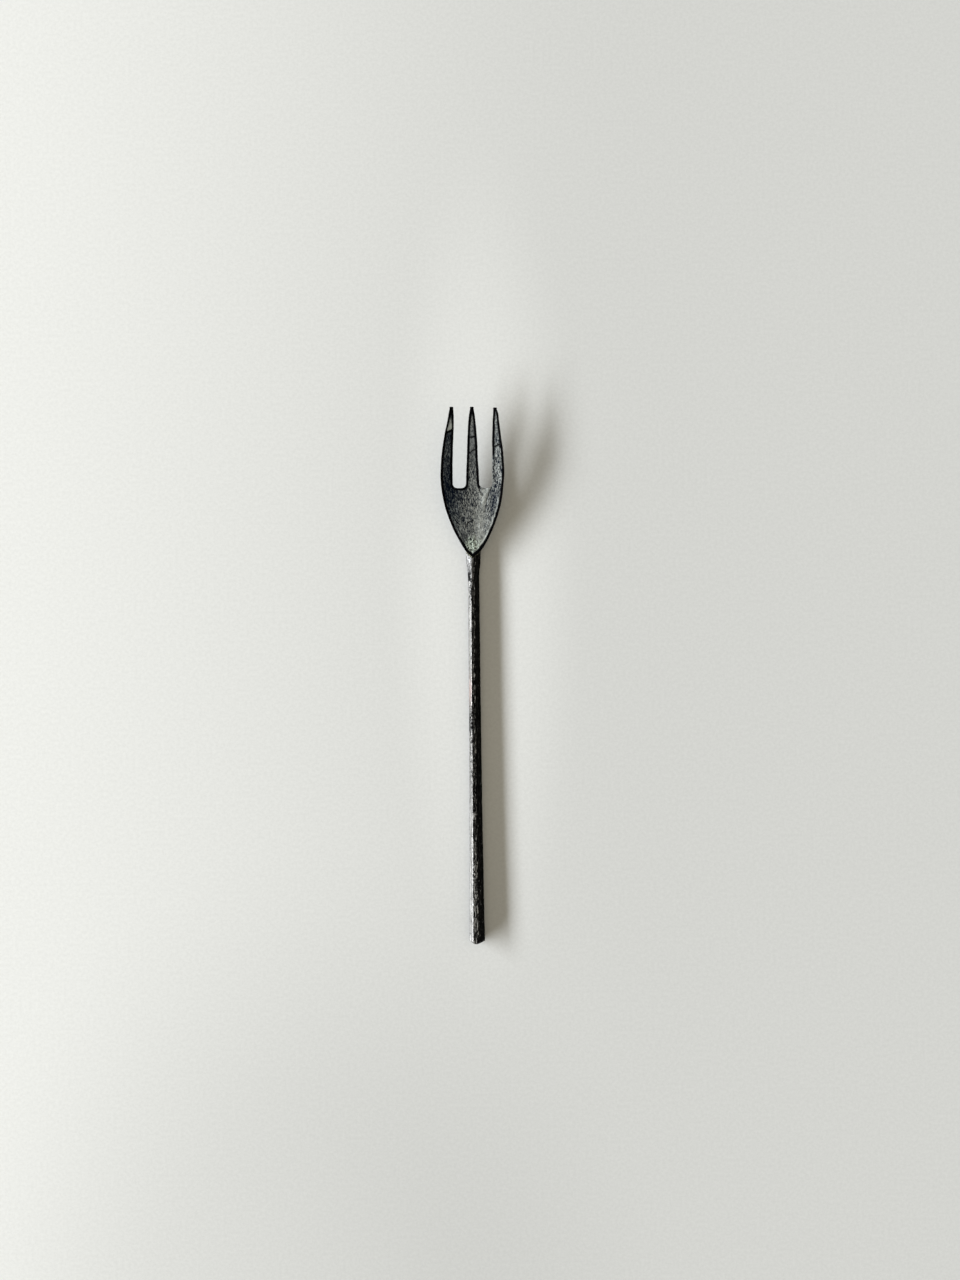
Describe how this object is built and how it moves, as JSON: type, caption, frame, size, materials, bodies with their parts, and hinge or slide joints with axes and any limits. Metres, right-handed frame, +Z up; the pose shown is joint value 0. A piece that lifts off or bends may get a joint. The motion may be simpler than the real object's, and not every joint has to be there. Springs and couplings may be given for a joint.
{
  "type": "oyster fork",
  "caption": "Small forged fork for shellfish: dished head with slim tines on a tapered square handle that lies on its corner.",
  "frame": {"origin": "under the middle of the fork's outline, on the surface that it rests on", "axes": "+Y along the fork towards the tips of the tines, +X to the right as seen from above, +Z up"},
  "size_m": [0.0177, 0.15, 0.0061],
  "materials": {
    "head_iron": "hammered, blackened and waxed",
    "handle_iron": "forged, blackened and waxed, worn along the corners",
    "braze": "dulled brazing metal"
  },
  "bodies": {
    "root": {"head": "head_iron", "handle": "handle_iron", "braze_seam": "braze"}
  },
  "joints": []
}
